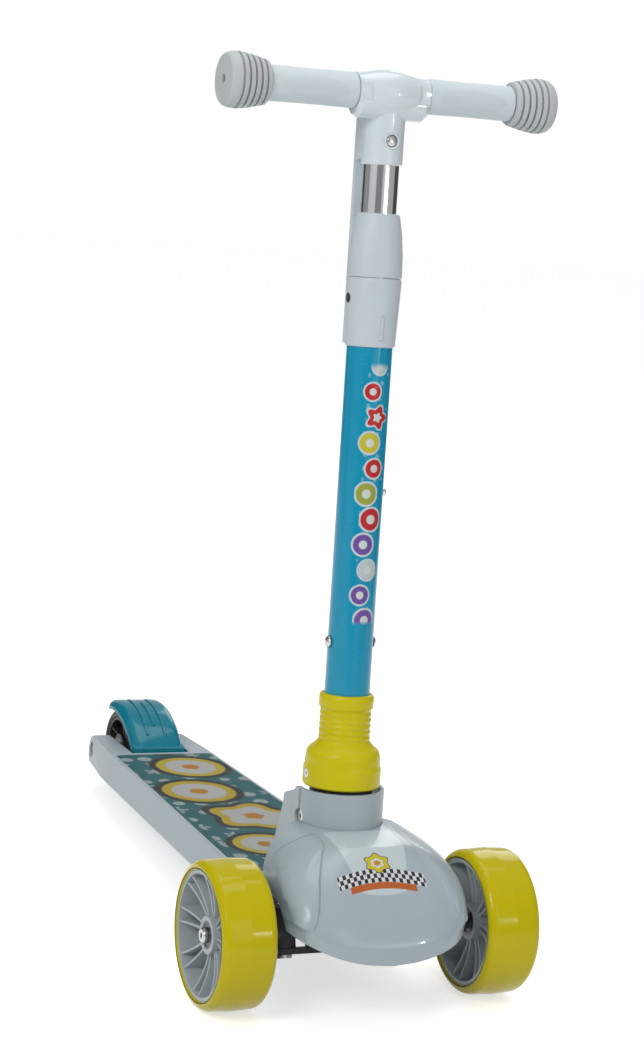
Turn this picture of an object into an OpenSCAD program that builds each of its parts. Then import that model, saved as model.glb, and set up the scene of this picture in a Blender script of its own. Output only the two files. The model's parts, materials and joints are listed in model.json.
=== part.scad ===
// Three-wheeled kick scooter for a small child: two wide front wheels that
// steer when the rider leans, a long ribbed deck with a rear fork and foot
// brake, and a stem that folds back over the deck and telescopes.
//
// Lengths run in millimetres, angles in degrees. +X is the rider's left, +Y
// runs towards the rear wheel and +Z is up. Inside the file y = 0 is the front
// axle; placed() moves the whole scooter so that the origin lies on the ground
// under the middle of its length.

/* [Front wheels] */
// Diameter of each front wheel over its tread
front_wheel_d = 120; // [112:1:126]
// Width of each front tyre
front_wheel_w = 46; // [42:1:48]
// Distance between the middles of the two front wheels
track = 228; // [226:1:236]
// Radial thickness of the front tyres
front_tyre_t = 8.6; // [6:0.2:10]
// Rounding of the tyres' shoulders
shoulder_r = 7; // [4:0.5:8]
// Number of paired ribs on each side of a front hub
rib_pairs = 8; // [5:1:9]

/* [Rear wheel and fork] */
// Distance from the front axle to the rear axle
wheelbase = 554; // [540:1:570]
// Diameter of the rear wheel over its tread
rear_wheel_d = 80; // [76:1:82]
// Width of the rear tyre
rear_wheel_w = 44; // [38:1:45]
// Radial thickness of the rear tyre
rear_tyre_t = 8; // [6:0.5:10]
// Distance between the inner faces of the fork's arms
fork_gap = 59; // [57:1:62]

/* [Deck] */
// Height of the standing surface above the ground over the front axle
deck_h = 76.6; // [74:0.2:80]
// Slope of the deck, down towards the rear
deck_slope = 2.3; // [1.5:0.1:3]
// Depth of the deck's moulding
deck_t = 27; // [24:1:30]
// Half width of the deck's top just behind the front cover
deck_front_half = 62; // [58:1:64]
// Half width of the deck's top at the rear edge of the mat
deck_rear_half = 51.5; // [50:0.5:56]
// How much wider each side is at the bottom than at the top
deck_flare = 5; // [3:0.5:6]
// Wall thickness of the deck's moulding
deck_wall = 3.2; // [2.6:0.2:4]
// Number of cross ribs under the deck
cross_ribs = 9; // [6:1:12]
// Thickness of the standing mat
mat_t = 2; // [1.5:0.5:3]

/* [Steering] */
// Distance of each kingpin from the middle
kingpin_x = 66; // [64:1:68]
// Backward tilt of the kingpins, which turns a lean into a turn
kingpin_tilt = 20; // [15:1:25]
// Radius of the kingpins
kingpin_r = 5; // [4:0.5:6]
// Length of the steering arms
steer_arm = 30; // [28:1:32]
// Radius of the axle bolts
axle_r = 4; // [3.5:0.5:4.5]

/* [Stem] */
// Backward rake of the stem
stem_rake = 5; // [3:0.5:7]
// Distance of the stem's foot behind the front axle, at the ground
stem_foot_y = 45.1; // [43:0.2:47]
// Outer radius of the coloured lower tube
lower_tube_r = 18.6; // [18:0.1:19.2]
// Wall of the lower tube
lower_tube_wall = 2.1; // [1.7:0.1:2.3]
// Outer radius of the chromed inner tube
inner_tube_r = 14.4; // [13.8:0.1:14.7]
// Wall of the inner tube
inner_tube_wall = 1.8; // [1.2:0.1:2.4]
// Rise of the folding bolt over the deck, along the stem
fold_rise = 59.7; // [58.4:0.1:61.4]
// Rise of the top of the neck over the deck, along the stem
neck_rise = 83.4; // [81.4:0.5:84.4]
// Outer radius of the neck
neck_r = 35.6; // [35.2:0.1:36.4]
// Largest radius of the stem collar
collar_r = 31.9; // [31:0.1:32.1]
// Distance along the stem to the through bolt of the lower tube
tube_bolt_s = 280; // [275:1:285]
// Distance along the stem to the height button
button_s = 402.8; // [400:0.2:406]
// Distance along the stem to the lower end of the height collar
height_collar_s = 520; // [515:1:525]
// Length of the height collar
height_collar_l = 106; // [104:1:108]
// Pitch of the height holes in the inner tube
hole_pitch = 30; // [28:1:32]
// Number of height steps above the lowest position
height_steps = 3; // [2:1:3]

/* [Handlebar] */
// Rise of the handlebar's axis over the height collar, at the lowest height
bar_rise = 94.5; // [90:0.5:100]
// Offset of the handlebar in front of the stem's axis
bar_forward = 6.6; // [5:0.2:8]
// Length of the handlebar over the end knobs
bar_l = 281; // [272:1:300]
// Outer radius of the grips
grip_r = 14.1; // [13.5:0.1:15]
// Largest radius of the end knobs
knob_r = 22; // [20.5:0.5:23]
// Length of each end knob
knob_l = 34.5; // [32:0.5:38]

/* [Brake fender] */
// Radius of the fender's outer curve
fender_r = 85.4; // [84:0.2:88]
// Width of the fender
fender_w = 53; // [52:0.5:54]
// Thickness of the fender's shell
fender_t = 3; // [2.4:0.2:3.4]

/* [Hidden] */
$fn = 64;

// Clearances: between parts that stand still, and in running fits
gap = 0.3;
snug = 0.05;
fit = 0.06;

// Front cover: places from the front axle; starts and leans are shares of its height or width
cover_low = 54.5;
cover_high = 131.5;
cover_rise = cover_high - cover_low;
cover_half = 78;
cover_front = -70;
cover_t = 3;
cheek_rise = 3;
lip_t = 1.2;
cover_back = 105.5;
cover_mid = 15;
cover_arch = 19.7;
cover_crown = 2.4;
nose_y = 20;
nose_lean = 0.64;
nose_start = 0.155;
tail_lean = 20.5;
mid_shift = 37;
shoulder_lean = 0.43;
shoulder_start = 0.3;
front_power = 0.56;
rear_power = 0.45;
arch_power = 1.75;
tail_taper = 0.75;
crown_taper = 0.45;
cheek_angle = 55;
cheek_bow = 60;
cheek_side = 40;
lip_level = 0.225;
lip_fade = 0.05;
arch_z = 54;
arch_r = 38;
cover_levels = 15;
cover_points = 72;
inner_levels = 8;
inner_points = 36;
crown_levels = 3;

// Wheels
front_r = front_wheel_d / 2;
rear_r = rear_wheel_d / 2;
rear_y = wheelbase;
middle_y = (rear_y + rear_r + cover_front - lip_t) / 2;
bearing_r = 11;
bearing_w = 7;
front_boss_l = 31;
rear_boss_l = 38;
boss_r = 15;

// Deck: the rear axle's place in the deck's own frame
rear_axle_dy = rear_y * cos(deck_slope) - (rear_r - deck_h) * sin(deck_slope);
rear_axle_dz = rear_y * sin(deck_slope) + (rear_r - deck_h) * cos(deck_slope);
deck_y0 = 38;
deck_mid_y = 150;
mat_end_y = rear_axle_dy - 77;
deck_end_y = mat_end_y + 6;
arm_end_r = 13.5;
arm_t = 15.5;
mat_y0 = 56;
mat_gap = 0.6;
ear_back = 54;
ear_end_y = (stem_foot_y + ear_back * cos(stem_rake) + deck_h * sin(stem_rake)) / cos(deck_slope);

// Steering
plate_in = 13.3;
plate_t = 5;
knuckle_h = 26;
knuckle_r = 11;
hub_face_x = track / 2 - front_boss_l / 2;

// Neck and fold
root_r = 25.7;
root_bottom = 14.3;
cheek_in = 26.6;
cheek_out = 30.6;
fold_bolt_r = 4;
pivot_r = 15;
bolt_head_r = 6.1;
ear_out = 36.8;
ear_in = 32.7;
cam_r = norm([root_r, root_bottom - 4]);
foot_half = ear_out;
foot_end_y = deck_y0 + 58;
latch_y = 38;
latch_rise = 16.4;
latch_s = deck_h + latch_rise;
fold_s = deck_h + fold_rise;
neck_top_s = deck_h + neck_rise;

// Stem
collar_bottom_s = neck_top_s + 2;
bell_h = 30;
stem_collar_l = 76;
seam_rise = 55;
bell_top_s = collar_bottom_s + bell_h;
collar_top_s = collar_bottom_s + stem_collar_l;
seam_s = height_collar_s + seam_rise;
height_top_s = height_collar_s + height_collar_l;
bar_s = height_top_s + bar_rise;
tube_top_s = seam_s - 9;
tube_inner_r = lower_tube_r - lower_tube_wall;
inner_bottom_s = tube_bolt_s + 19;
button_r = 3;
spine_y = 24.8;
spine_t = 4;
spine_half = 11.6;
spine_top_s = bar_s - 17;
rail_neck = 2;
rail_head = 4.5;

// Handlebar
core_r = 11.2;
hub_half = 27;
arm_r = grip_r + 0.3;
gusset_r = 13;
gusset_drop = 8;
pad_depth = 0.9;
flange_w = 4;
knob_x0 = bar_l / 2 - knob_l;
knob_pitch = 5.2;

// Screws and small pins
bridge_screw_r = 3;
foot_drop = deck_wall + mat_t + snug;
latch_pin_r = 2.5;
tube_bolt_r = 3;
bush_r = 8;
bush_l = 7;
tie_pin_r = 3;
tie_slot = 0.8;
arm_low = -6;
axle_head_x = 41.1;
root_top_s = neck_top_s + 20;
tube_bottom_s = neck_top_s + 6;
collar_screw_s = neck_top_s + 12;
height_screw_s = height_collar_s + 38;
bush_flange_t = 2;
spigot_r = tube_inner_r - snug - 0.15;
waist_r = lower_tube_r + 2.3;
hub_r = 18.2;
handle_neck_r = inner_tube_r + 2.2;
neck_bottom_s = height_top_s + 38;
handle_screw_s = neck_bottom_s + 19;
grip_x0 = hub_half + flange_w - 0.5 + gap;

// Brake: centre of the fender's curve and the hinge in the deck's frame
fender_y = rear_y - 1;
fender_z = 2 * rear_r + 5 + fender_t - fender_r;
hinge_dy = mat_end_y + 14.5;
hinge_dz = -9;
hinge_r = 5.6;
brake_pin_r = 2.5;

// ------------------------------------------------------------------ frames

// Whole scooter, origin on the ground under the middle of its length
module placed() {
    translate([0, -middle_y, 0]) children();
}

// z runs up the stem from the ground
module stem_frame() {
    placed() translate([0, stem_foot_y, 0]) rotate([-stem_rake, 0, 0]) children();
}

// z = 0 is the standing surface, y runs back along the deck
module deck_frame() {
    placed() translate([0, 0, deck_h]) rotate([-deck_slope, 0, 0]) children();
}

// Centred on a kingpin at axle height, z along the kingpin
module kingpin_frame(x = 0) {
    placed() translate([x, 0, front_r]) rotate([-kingpin_tilt, 0, 0]) children();
}

// x along the front axle, side -1 or 1, centred on the wheel
module front_wheel_frame(side) {
    placed() translate([side * track / 2, 0, front_r]) rotate([0, side * 90, 0]) children();
}

module rear_wheel_frame() {
    placed() translate([0, rear_y, rear_r]) rotate([0, 90, 0]) children();
}

// z along the handlebar, pointing out on the given side
module bar_frame(side) {
    stem_frame() translate([0, -bar_forward, bar_s]) rotate([0, side * 90, 0]) children();
}

// ------------------------------------------------------------ common shapes

// Cylinder along X between two places
module across(r, x0, x1) {
    translate([x0, 0, 0]) rotate([0, 90, 0]) cylinder(r = r, h = x1 - x0);
}

// Cylinders along X on both sides, between the distances x0 and x1 from the middle
module both_sides(r, x0, x1) {
    across(r, x0, x1);
    across(r, -x1, -x0);
}

// Cylinder along X, centred
module axle(r, l) {
    across(r, -l / 2, l / 2);
}

module tube(r, wall, l) {
    difference() {
        cylinder(r = r, h = l);
        translate([0, 0, -1]) cylinder(r = r - wall, h = l + 2);
    }
}

// Flat plate of constant thickness in X, drawn in the Y-Z plane
module side_plate(x0, x1) {
    translate([x0, 0, 0]) rotate([90, 0, 90]) linear_extrude(x1 - x0) children();
}

// Box given by its two corners
module block(low, high) {
    translate(low) cube(high - low);
}

// --------------------------------------------------------------------- deck

// Half outline of the deck, grown by g, as seen from above
function deck_half(g) = [
    [0, deck_y0], [deck_front_half + g - 4, deck_y0], [deck_front_half + g, deck_y0 + 8],
    [deck_front_half + g, deck_mid_y], [deck_rear_half + g, mat_end_y],
    [deck_rear_half + g - 1, mat_end_y + 22], [fork_gap / 2 + arm_t + g / 2 + 2, rear_axle_dy - 30],
    [fork_gap / 2 + arm_t + g / 3, rear_axle_dy + arm_end_r], [0, rear_axle_dy + arm_end_r]
];

module deck_plan(g) {
    for (m = [0, 1]) mirror([m, 0]) polygon(deck_half(g));
}

// Solid body of the deck, its sides leaning out towards the bottom
module deck_body(inset, top, depth) {
    hull() {
        translate([0, 0, top - 0.1]) linear_extrude(0.1) deck_plan(-inset);
        translate([0, 0, -depth]) linear_extrude(0.1) deck_plan(deck_flare - inset);
    }
}

// Side view of the deck, with the round end of the fork's arms
module deck_side(inset) {
    side_plate(-90, 90) union() {
        translate([deck_y0, -deck_t]) square([rear_axle_dy - deck_y0, deck_t]);
        translate([rear_axle_dy, rear_axle_dz]) circle(r = arm_end_r - inset);
    }
}

// Ribs under the deck, two millimetres thick, across and along it
module deck_ribs() {
    foot_z = -deck_t + 3;
    first_y = deck_y0 + 80;
    rib_span = (deck_end_y - 16 - first_y) / (cross_ribs - 1);
    for (i = [0:cross_ribs - 1])
        block([-80, first_y + i * rib_span - 1, foot_z], [80, first_y + i * rib_span + 1, -2]);
    for (x = [-30, 0, 30])
        block([x - 1, first_y, foot_z], [x + 1, deck_end_y - 4, -2]);
}

module deck_shell() {
    color("gainsboro") deck_frame() difference() {
        union() {
            difference() {
                intersection() {
                    deck_body(0, 0, deck_t);
                    deck_side(0);
                }
                // hollow underside, open at the front to take the bridge's foot
                intersection() {
                    deck_body(deck_wall, -deck_wall - mat_t, deck_t + 1);
                    block([-90, deck_y0 - 1, -deck_t - 2], [90, deck_end_y - deck_wall, -deck_wall - mat_t]);
                }
            }
            intersection() {
                deck_body(1, -1, deck_t);
                deck_ribs();
            }
        }
        // gap of the fork for the rear wheel
        block([-fork_gap / 2, deck_end_y, -deck_t - 1], [fork_gap / 2, rear_axle_dy + 40, 1]);
        // recess of the standing mat
        translate([0, 0, -mat_t]) linear_extrude(mat_t + 1) mat_plan(snug);
        // rear axle, with pockets for its head and nut
        translate([0, rear_axle_dy, rear_axle_dz]) {
            axle(axle_r + snug, 120);
            both_sides(7.6, 41, 51);
        }
        // brake pin
        translate([0, hinge_dy, hinge_dz]) axle(brake_pin_r + snug, fork_gap + 12);
        // screws of the bridge
        bridge_screw_places() translate([0, 0, -20]) cylinder(r = bridge_screw_r + snug, h = 25);
    }
}

// Standing mat, with a notch in front for the foot of the neck
module mat_plan(g) {
    difference() {
        polygon([
            [-deck_front_half + 3 - g, mat_y0], [-deck_front_half + 3 - g, deck_mid_y],
            [-deck_rear_half + 3 - g, mat_end_y - 3], [-deck_rear_half + 7, mat_end_y + g],
            [deck_rear_half - 7, mat_end_y + g], [deck_rear_half - 3 + g, mat_end_y - 3],
            [deck_front_half - 3 + g, deck_mid_y], [deck_front_half - 3 + g, mat_y0]
        ]);
        translate([-foot_half - 3 + g, 0]) square([2 * (foot_half + 3 - g), ear_end_y + mat_gap - g]);
        cover_plan(mat_gap - g);
    }
}

module deck_mat() {
    color("cadetblue") deck_frame() translate([0, 0, -mat_t]) linear_extrude(mat_t) mat_plan(0);
}

// -------------------------------------------------------------- front cover

function smooth(a, b, v) = let (t = min(1, max(0, (v - a) / (b - a)))) t * t * (3 - 2 * t);
function signed_power(v, p) = sign(v) * pow(abs(v), p);
function past(u, start) = max(0, (u - start) / (1 - start));

// The cover is lofted through rings; u runs from the lower edge to the top
function cover_y_front(u) = nose_y + (cover_front - nose_y) * (1 - nose_lean * pow(past(u, nose_start), 1.5));
function cover_y_back(u) = cover_back - tail_lean * pow(u, 1.6);
function cover_y_mid(u) = cover_mid + mid_shift * pow(u, 2);
function cover_width(u) = cover_half * (1 - shoulder_lean * pow(past(u, shoulder_start), 2.65));

// Raised cheeks on both front corners; a is the angle from the side towards the front
function cheek_inner(u) = cheek_angle - cheek_bow * pow(u - 0.6, 2);
function cheek_outer(u) = cheek_side * pow(max(0, 1 - u), 1.5);
function cheek(a, u) = cheek_rise
    * (1 - smooth(cheek_inner(u) - 4, cheek_inner(u) + 4, a))
    * smooth(cheek_outer(u) - 6, cheek_outer(u) + 4, a)
    * smooth(0.1, 0.2, u) * (1 - smooth(0.9, 0.98, u));
// The lip along the lower edge stands proud
function lip(u) = lip_t * (1 - smooth(lip_level - lip_fade, lip_level, u));

// The plan is a soft rectangle in front and tapers towards the rear
function cover_point(a, u, inset) = let (
        rear = sin(a) > 0,
        power = rear ? rear_power : front_power,
        c = signed_power(cos(a), power),
        s = signed_power(sin(a), power),
        y_half = rear ? cover_y_back(u) - cover_y_mid(u) : cover_y_mid(u) - cover_y_front(u),
        relief = inset > 0 ? 0 : lip(u) + (rear ? 0 : cheek(asin(-sin(a)), u)),
        out = relief - inset
    )
    [
        c * (cover_width(u) + out) * (1 - tail_taper * max(0, s)),
        cover_y_mid(u) + s * (y_half + out),
        cover_low + cover_rise * u + cover_arch * pow(abs(c), arch_power) * (1 - u)
            - inset * smooth(0.3, 1, u)
    ];

// Height on the loft at which its wall at the angle a meets the deck
function seat_u(a) = let (
        edge = cover_low + cover_arch * pow(cos(a), rear_power * arch_power),
        deck_z = deck_h - cover_point(a, 0, 0)[1] * tan(deck_slope)
    ) (deck_z - edge) / (cover_high - edge);

// Outline of the cover's rear part on the deck, in the deck's frame, grown by g
module cover_plan(g) {
    right = [
        for (a = [0:5:85]) let (p = cover_point(a, seat_u(a), -g)) [p[0], p[1] / cos(deck_slope)]
    ];
    for (m = [0, 1]) mirror([m, 0]) polygon(concat([[0, cover_mid]], right, [[0, right[len(right) - 1][1]]]));
}

// Rings above u = 1 close in on the neck and round the crown
function crown_point(a, k, inset) = let (
        p = cover_point(a, 1, inset),
        f = k / crown_levels,
        narrow = 1 - crown_taper * f
    )
    [
        p[0] * narrow,
        cover_y_mid(1) + (p[1] - cover_y_mid(1)) * narrow,
        p[2] + cover_crown * (1 - pow(1 - f, 2))
    ];

// Closed loft through all rings, with flat ends; the lowest ring is dropped by below
module cover_loft(inset, below, levels, points) {
    turns = [for (i = [0:points - 1]) 360 * i / points];
    rings = concat(
        [for (k = [0:levels])
            [for (a = turns) cover_point(a, k / levels, inset) - [0, 0, k == 0 ? below : 0]]],
        [for (k = [1:crown_levels]) [for (a = turns) crown_point(a, k, inset)]]
    );
    n = points;
    last = len(rings) - 1;
    polyhedron(
        points = [for (r = rings) each r],
        faces = concat(
            [[for (i = [0:n - 1]) i]],
            [[for (i = [0:n - 1]) last * n + n - 1 - i]],
            [for (k = [0:last - 1], i = [0:n - 1])
                [k * n + i, (k + 1) * n + i, (k + 1) * n + (i + 1) % n, k * n + (i + 1) % n]]
        )
    );
}

module front_cover() {
    color("gainsboro") difference() {
        placed() cover_loft(0, 0, cover_levels, cover_points);
        placed() cover_loft(cover_t, 3, inner_levels, inner_points);
        // seat on the deck
        deck_frame() block([-90, deck_y0 - gap, -60], [90, 200, gap]);
        // arches over the wheels' axle bosses
        placed() translate([0, 0, arch_z]) both_sides(arch_r, 60, 100);
        // opening for the neck
        stem_frame() linear_extrude(200) neck_plan(neck_r + gap, ear_out + gap, 80);
    }
}

// ---------------------------------------------------------- neck and fold

// Plan of the neck: round in front, with straight ears towards the rear
module neck_plan(r, half, back) {
    circle(r = r);
    translate([-half, 0]) square([2 * half, back]);
}

// Side view of the neck and its ears
module neck_side() {
    polygon([
        [-60, 60], [-60, neck_top_s], [6, neck_top_s], [10, neck_top_s - 3.6], [30, fold_s + 13.4],
        [31.7, fold_s + 11.5], [32.2, fold_s + 3.5], [43, fold_s - 22],
        [ear_back, fold_s - 50], [ear_back, 60]
    ]);
}

module bridge_screw_places() {
    for (x = [-28, 28], y = [deck_y0 + 10, deck_y0 + 48]) translate([x, y, 0]) children();
}

module neck_housing() {
    color("gainsboro") difference() {
        intersection() {
            union() {
                stem_frame() intersection() {
                    translate([0, 0, 50]) linear_extrude(neck_top_s - 50) difference() {
                        neck_plan(neck_r, ear_out, 60);
                        neck_plan(ear_in, ear_in, 70);
                    }
                    side_plate(-60, 60) neck_side();
                }
                // cheeks that hold the fold bolt
                stem_frame() intersection() {
                    translate([0, 0, fold_s]) both_sides(pivot_r, cheek_in, ear_out);
                    linear_extrude(neck_top_s) neck_plan(neck_r, ear_out, 60);
                }
                // foot plate on the deck
                deck_frame() translate([0, 0, snug]) linear_extrude(4) foot_plan();
            }
            deck_frame() block([-90, -20, snug], [90, 200, 130]);
        }
        stem_frame() translate([0, 0, fold_s]) {
            axle(fold_bolt_r + snug, 100);
            both_sides(bolt_head_r + 0.2, cheek_out, 60);
        }
        stem_frame() translate([0, latch_y, latch_s]) axle(latch_pin_r + snug, 100);
        deck_frame() bridge_screw_places() cylinder(r = bridge_screw_r + snug, h = 3.8);
    }
}

module foot_plan() {
    translate([-foot_half, deck_y0 + 2]) square([2 * foot_half, foot_end_y - deck_y0 - 2]);
}

module fold_bolt() {
    color("silver") stem_frame() translate([0, 0, fold_s]) {
        axle(fold_bolt_r, 2 * cheek_out + 2 * snug);
        difference() {
            both_sides(bolt_head_r, cheek_out + snug, cheek_out + 4);
            both_sides(2, cheek_out + 2, cheek_out + 6);
        }
    }
}

// Lever that locks the fold; its nose lies under the root of the stem
module fold_latch() {
    color("gainsboro") stem_frame() difference() {
        union() {
            translate([0, latch_y, latch_s]) axle(5.5, 2 * ear_in - 2 * gap);
            side_plate(-ear_in + 0.5, ear_in - 0.5) polygon([
                [latch_y - 2, latch_s + 5.3], [latch_y - 3, latch_s + 2], [latch_y + 3, latch_s - 2],
                [latch_y + 28, latch_s + 1], [latch_y + 29, latch_s + 3.5], [latch_y + 27, latch_s + 5]
            ]);
            side_plate(-9, 9) difference() {
                polygon([
                    [latch_y + 2, latch_s - 3], [latch_y - 8, latch_s - 3], [latch_y - 30, latch_s + 5],
                    [latch_y - 30, latch_s + 13], [latch_y - 17, latch_s + 14], [latch_y + 2, latch_s + 4]
                ]);
                translate([0, fold_s]) circle(r = cam_r + 0.9);
            }
        }
        translate([0, latch_y, latch_s]) axle(latch_pin_r + fit, 80);
    }
}

module latch_pin() {
    color("silver") stem_frame() translate([0, latch_y, latch_s]) axle(latch_pin_r, 2 * ear_out - 1);
}

// --------------------------------------------------------------- steering

// Two plates and a web that hold the kingpins, with a foot under the deck
module front_bridge() {
    color("dimgray") difference() {
        union() {
            kingpin_frame() for (z = [-plate_in - plate_t, plate_in]) translate([0, 0, z]) {
                block([-kingpin_x, -11, 0], [kingpin_x, 11, plate_t]);
                for (side = [-1, 1]) translate([side * kingpin_x, 0, 0]) cylinder(r = 11, h = plate_t);
            }
            kingpin_frame() for (x = [-42, -12, 8, 38])
                block([x, -10, -plate_in - 1], [x + 4, 10, plate_in + 1]);
            kingpin_frame() block([-42, -2, -plate_in - 1], [42, 2, plate_in + 1]);
            difference() {
                deck_frame() block([-40, 8, -foot_drop - 6], [40, deck_y0 + 56, -foot_drop]);
                kingpin_frame() block([-60, -30, -plate_in], [60, 9, plate_in]);
            }
        }
        for (side = [-1, 1]) kingpin_frame(side * kingpin_x) translate([0, 0, -40])
            cylinder(r = kingpin_r + snug, h = 80);
        deck_frame() bridge_screw_places() translate([0, 0, -30]) cylinder(r = bridge_screw_r + snug, h = 40);
    }
}

module bridge_screws() {
    color("silver") deck_frame() bridge_screw_places() {
        translate([0, 0, -foot_drop - 6.5]) cylinder(r = bridge_screw_r, h = foot_drop + 6.5 + 3.5);
        translate([0, 0, -foot_drop - 6 - snug - 3]) difference() {
            cylinder(r = 5, h = 3);
            translate([0, 0, -1]) cylinder(r = 1.8, h = 2.5);
        }
    }
}

module kingpin(side) {
    color("silver") kingpin_frame(side * kingpin_x) {
        translate([0, 0, -plate_in - plate_t]) cylinder(r = kingpin_r, h = 2 * (plate_in + plate_t));
        translate([0, 0, plate_in + plate_t + snug]) cylinder(r = 8, h = 3);
        translate([0, 0, plate_in + plate_t - 1]) cylinder(r = kingpin_r, h = 3);
        translate([0, 0, -plate_in - plate_t - snug - 3]) cylinder(r = 8, h = 3);
        translate([0, 0, -plate_in - plate_t - 2]) cylinder(r = kingpin_r, h = 3);
    }
}

module left_kingpin() { kingpin(1); }
module right_kingpin() { kingpin(-1); }

// Rubber bushes round the kingpins that bring the wheels back to straight ahead
module steering_bushes() {
    color("black") for (side = [-1, 1]) kingpin_frame(side * kingpin_x) for (m = [0, 1]) mirror([0, 0, m])
        translate([0, 0, knuckle_h / 2 - bush_l + snug])
            tube(bush_r, bush_r - kingpin_r - snug, bush_l - snug);
}

module knuckle(side) {
    color("dimgray") difference() {
        union() {
            kingpin_frame(side * kingpin_x) {
                translate([0, 0, -knuckle_h / 2]) cylinder(r = knuckle_r, h = knuckle_h);
                // steering arm with the tie rod's pin
                block([-5, 0, arm_low], [5, steer_arm, 0]);
                translate([0, steer_arm, arm_low]) cylinder(r = 5, h = -arm_low);
                translate([0, steer_arm, arm_low]) cylinder(r = tie_pin_r, h = -arm_low + 6.5);
            }
            // tapered boss towards the wheel
            placed() translate([side * kingpin_x, 0, front_r]) rotate([0, side * 90, 0])
                rotate_extrude() polygon([
                [0, 0], [10.5, 0], [10.5, 12],
                [9, hub_face_x - kingpin_x - 4], [6, hub_face_x - kingpin_x - 3],
                [6, hub_face_x - kingpin_x - snug], [0, hub_face_x - kingpin_x - snug]
            ]);
        }
        kingpin_frame(side * kingpin_x) translate([0, 0, -40]) cylinder(r = kingpin_r + fit, h = 80);
        kingpin_frame(side * kingpin_x) for (m = [0, 1]) mirror([0, 0, m])
            translate([0, 0, knuckle_h / 2 - bush_l]) cylinder(r = bush_r + fit, h = 20);
        placed() translate([side * (kingpin_x + 8), 0, front_r]) rotate([0, side * 90, 0])
            cylinder(r = axle_r + snug, h = 60);
    }
}

module left_knuckle() { knuckle(1); }
module right_knuckle() { knuckle(-1); }

module axle_bolt(side) {
    color("silver") front_wheel_frame(side) {
        translate([0, 0, kingpin_x + 8.5 - track / 2])
            cylinder(r = axle_r, h = track / 2 - kingpin_x - 8.5 + front_boss_l / 2 + 1);
        translate([0, 0, front_boss_l / 2 + snug]) difference() {
            rotate_extrude() polygon([[0, 0], [6.2, 0], [6.2, 3.4], [5.2, 4.6], [0, 4.6]]);
            translate([0, 0, 2.6]) cylinder(r = 2.5, h = 3, $fn = 6);
        }
    }
}

module left_axle_bolt() { axle_bolt(1); }
module right_axle_bolt() { axle_bolt(-1); }

// Slots let the arms' pins swing while the rod slides straight
module tie_rod() {
    color("dimgray") kingpin_frame() difference() {
        translate([0, 0, gap]) union() {
            block([-kingpin_x, steer_arm - 5, 0], [kingpin_x, steer_arm + 5, 5]);
            for (side = [-1, 1]) translate([side * kingpin_x, steer_arm, 0]) cylinder(r = 6.5, h = 5);
        }
        for (side = [-1, 1]) translate([side * kingpin_x, steer_arm, -1]) {
            translate([0, -tie_slot, 0]) cylinder(r = tie_pin_r + 0.15, h = 10);
            cylinder(r = tie_pin_r + 0.15, h = 10);
            block([-tie_pin_r - 0.15, -tie_slot, 0], [tie_pin_r + 0.15, 0, 10]);
        }
    }
}

// ----------------------------------------------------------------- wheels

// Closed outline of a tyre's half section, rounded at the shoulders
module tyre_section(r, w, t, sh, crown) {
    half = w / 2;
    polygon([
        for (p = concat(
            [[r - t, -half + 1.5], [r - t + 1.5, -half]],
            [for (a = [0:15:90]) [r - crown - sh + sh * sin(a), -half + sh - sh * cos(a)]],
            [[r, 0]],
            [for (a = [90:-15:0]) [r - crown - sh + sh * sin(a), half - sh + sh * cos(a)]],
            [[r - t + 1.5, half], [r - t, half - 1.5]]
        )) p
    ]);
}

module front_tyre(side) {
    color("gold") front_wheel_frame(side) rotate_extrude($fn = 96)
        tyre_section(front_r, front_wheel_w, front_tyre_t, shoulder_r, 0.8);
}

module left_tyre() { front_tyre(1); }
module right_tyre() { front_tyre(-1); }

// Space under the ribs: the ribs' edge dips between the rim and the boss
module rib_dish(rim_r, rim_z, in_r, in_z) {
    rotate_extrude() polygon(concat(
        [[0, -in_z], [in_r, -in_z]],
        [for (k = [1:6]) let (t = k / 6) [in_r + (rim_r - in_r) * t, -in_z - (rim_z - in_z) * t * t]],
        [for (k = [6:-1:1]) let (t = k / 6) [in_r + (rim_r - in_r) * t, in_z + (rim_z - in_z) * t * t]],
        [[in_r, in_z], [0, in_z]]
    ));
}

// Rim, closed web, bearing boss and pairs of radial ribs on both faces
module ribbed_hub(rim_r, rim_t, rim_half, web_t, boss_l, pairs, spread) {
    difference() {
        union() {
            difference() {
                translate([0, 0, -rim_half]) cylinder(r = rim_r, h = 2 * rim_half, $fn = 96);
                translate([0, 0, -rim_half - 1]) cylinder(r = rim_r - rim_t, h = 2 * rim_half + 2, $fn = 96);
            }
            translate([0, 0, -web_t / 2]) cylinder(r = rim_r - 1, h = web_t);
            translate([0, 0, -boss_l / 2]) cylinder(r = boss_r, h = boss_l);
            intersection() {
                rib_dish(rim_r - rim_t + 0.5, rim_half - 1, boss_r - 1, boss_l / 2 - 4);
                translate([0, 0, -rim_half]) linear_extrude(2 * rim_half)
                    for (i = [0:pairs - 1], side = [-1, 1]) rotate(i * 360 / pairs + side * spread)
                        translate([boss_r - 2, -1]) square([rim_r - boss_r, 2]);
            }
        }
        for (m = [0, 1]) mirror([0, 0, m])
            translate([0, 0, boss_l / 2 - bearing_w]) cylinder(r = bearing_r + snug, h = bearing_w + 1);
        translate([0, 0, -boss_l]) cylinder(r = bearing_r - 2, h = 2 * boss_l);
    }
}

module front_hub(side) {
    color("lightgray") front_wheel_frame(side)
        ribbed_hub(front_r - front_tyre_t - snug, 3, front_wheel_w / 2 - 1.6, 3, front_boss_l, rib_pairs, 7);
}

module left_hub() { front_hub(1); }
module right_hub() { front_hub(-1); }

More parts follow.
